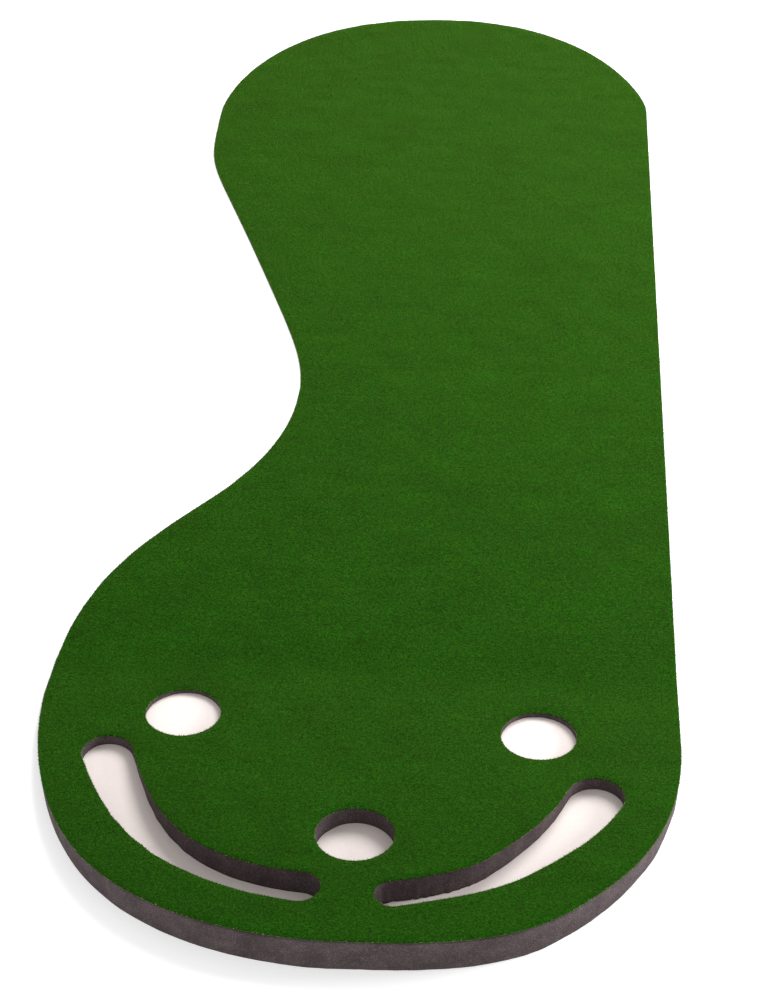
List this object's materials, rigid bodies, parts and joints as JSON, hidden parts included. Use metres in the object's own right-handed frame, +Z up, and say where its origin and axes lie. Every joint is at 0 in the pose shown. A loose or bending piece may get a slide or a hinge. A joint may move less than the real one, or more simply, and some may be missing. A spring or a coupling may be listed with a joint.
{
  "type": "practice putting mat",
  "caption": "Kidney-shaped indoor putting mat: turf sheet rising on a foam wedge at one end, with cup cut-outs and curved sand traps.",
  "frame": {"origin": "on the floor, under the middle of the mat's bounding box", "axes": "+Z up, +Y along the straight side from the raised cup end to the flat putting end, +X towards the straight side"},
  "size_m": [0.914, 2.743, 0.056],
  "materials": {
    "turf_pile": "short dense green polypropylene putting pile",
    "turf_backing": "pale latexed backing cloth of the turf",
    "non_crease_backing": "grey-brown closed-cell foam sheet",
    "foam_wedge": "grey-brown closed-cell foam with cut sides",
    "base_sheet": "white needled fleece"
  },
  "bodies": {
    "root": {"turf_pile": "turf_pile", "turf_backing": "turf_backing", "non_crease_backing": "non_crease_backing", "foam_wedge": "foam_wedge", "base_sheet": "base_sheet"}
  },
  "joints": []
}
